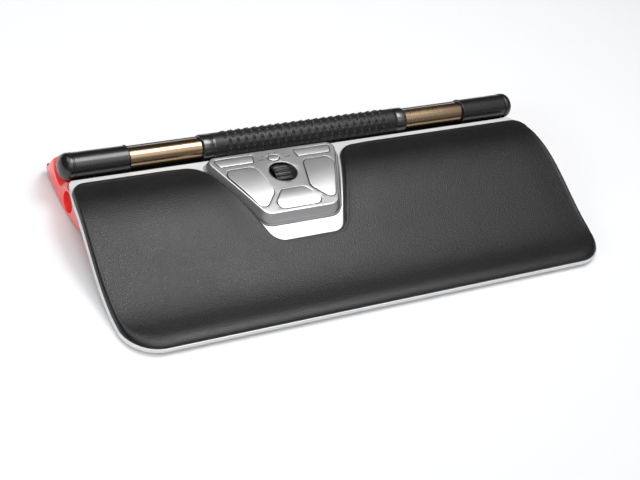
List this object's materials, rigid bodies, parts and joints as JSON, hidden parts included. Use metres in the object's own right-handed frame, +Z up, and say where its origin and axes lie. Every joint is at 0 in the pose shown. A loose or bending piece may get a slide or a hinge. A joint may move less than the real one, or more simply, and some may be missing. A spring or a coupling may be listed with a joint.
{
  "type": "trackball mouse",
  "caption": "Wide keyboard-front pointing device: sliding and turning roller grip on a sprung bar, a wheel and key module, and a padded palm rest.",
  "frame": {"origin": "centre of the footprint, on the desk surface", "axes": "+X to the user's right along the bar, +Y away from the user, +Z up"},
  "size_m": [0.477, 0.217, 0.0432],
  "materials": {
    "red_plastic": "bright red moulded plastic, satin gloss",
    "silver_plastic": "silver-painted plastic, satin",
    "key_silver": "silver-painted key tops, satin",
    "pad_leather": "black leatherette with a fine pebble grain",
    "foam": "soft foam under the cover",
    "black_plastic": "black moulded plastic, fine satin",
    "gloss_black": "dark chrome-like gloss",
    "grip_rubber": "black moulded rubber",
    "rubber": "black rubber feet",
    "bronze": "copper-toned polished metal tube",
    "steel": "plated steel",
    "board": "green circuit board",
    "light_white": "white moulded plastic"
  },
  "bodies": {
    "root": {"base_tray": "red_plastic", "left_cheek": "red_plastic", "right_cheek": "red_plastic", "rear_cover": "black_plastic", "bar_trough": "black_plastic", "usb_socket": "steel", "main_board": "board", "bar_bushes": "black_plastic", "bar_switches": "black_plastic", "press_springs": "steel", "bar_sensor": "gloss_black", "base_feet": "rubber", "base_screws": "steel", "rear_bumpers": "rubber", "module_housing": "silver_plastic", "wheel_well": "black_plastic", "wheel_switch": "black_plastic", "light_pipes": "light_white", "module_board": "board", "tact_switches": "black_plastic", "module_screws": "steel", "palm_plate": "silver_plastic", "palm_foam": "foam", "palm_cover": "pad_leather", "palm_feet": "rubber", "palm_screws": "steel"},
    "bar": {"core_tube": "bronze", "left_housing": "black_plastic", "right_housing": "black_plastic", "left_dome": "black_plastic", "right_dome": "black_plastic", "guide_pins": "steel"},
    "slider": {"grip_liners": "light_white"},
    "grip": {"grip_tube": "black_plastic", "grip_rubber": "grip_rubber", "left_collar": "gloss_black", "right_collar": "gloss_black"},
    "left_key": {"left_button": "key_silver"},
    "right_key": {"right_button": "key_silver"},
    "centre_key": {"centre_button": "key_silver"},
    "copy_key": {"copy_button": "key_silver"},
    "paste_key": {"paste_button": "key_silver"},
    "speed_key": {"speed_button": "key_silver"},
    "wheel_fork": {"wheel_carriage": "black_plastic"},
    "wheel": {"wheel_tyre": "grip_rubber", "wheel_hub": "black_plastic", "wheel_axle": "steel"}
  },
  "joints": [
    {"name": "bar_press", "type": "slide", "parent": "root", "child": "bar", "axis": [0, 0, -1], "range_m": [0, 0.0008], "stiffness_N_per_m": 3000, "springref_m": -0.0015, "deforming": ["press_springs"]},
    {"name": "sleeve_slide", "type": "slide", "parent": "bar", "child": "slider", "axis": [1, 0, 0], "range_m": [-0.0667, 0.0633]},
    {"name": "sleeve_spin", "type": "hinge", "parent": "slider", "child": "grip", "pos_m": [0, 0.0795, 0.0314], "axis": [1, 0, 0], "continuous": true},
    {"name": "left_click", "type": "slide", "parent": "root", "child": "left_key", "axis": [0, 0.0506, -0.9987], "range_m": [0, 0.0005], "stiffness_N_per_m": 600, "springref_m": -0.001},
    {"name": "right_click", "type": "slide", "parent": "root", "child": "right_key", "axis": [0, 0.0506, -0.9987], "range_m": [0, 0.0005], "stiffness_N_per_m": 600, "springref_m": -0.001},
    {"name": "centre_click", "type": "slide", "parent": "root", "child": "centre_key", "axis": [0, 0.0506, -0.9987], "range_m": [0, 0.0005], "stiffness_N_per_m": 600, "springref_m": -0.001},
    {"name": "copy_click", "type": "slide", "parent": "root", "child": "copy_key", "axis": [0, 0.0506, -0.9987], "range_m": [0, 0.0005], "stiffness_N_per_m": 600, "springref_m": -0.001},
    {"name": "paste_click", "type": "slide", "parent": "root", "child": "paste_key", "axis": [0, 0.0506, -0.9987], "range_m": [0, 0.0005], "stiffness_N_per_m": 600, "springref_m": -0.001},
    {"name": "speed_click", "type": "slide", "parent": "root", "child": "speed_key", "axis": [0, 0.0506, -0.9987], "range_m": [0, 0.0005], "stiffness_N_per_m": 600, "springref_m": -0.001},
    {"name": "wheel_press", "type": "slide", "parent": "root", "child": "wheel_fork", "axis": [0, 0.0506, -0.9987], "range_m": [0, 0.0006], "stiffness_N_per_m": 800, "springref_m": -0.0012},
    {"name": "wheel_spin", "type": "hinge", "parent": "wheel_fork", "child": "wheel", "pos_m": [-0.043, 0.03357, 0.02483], "axis": [1, 0, 0], "continuous": true}
  ]
}
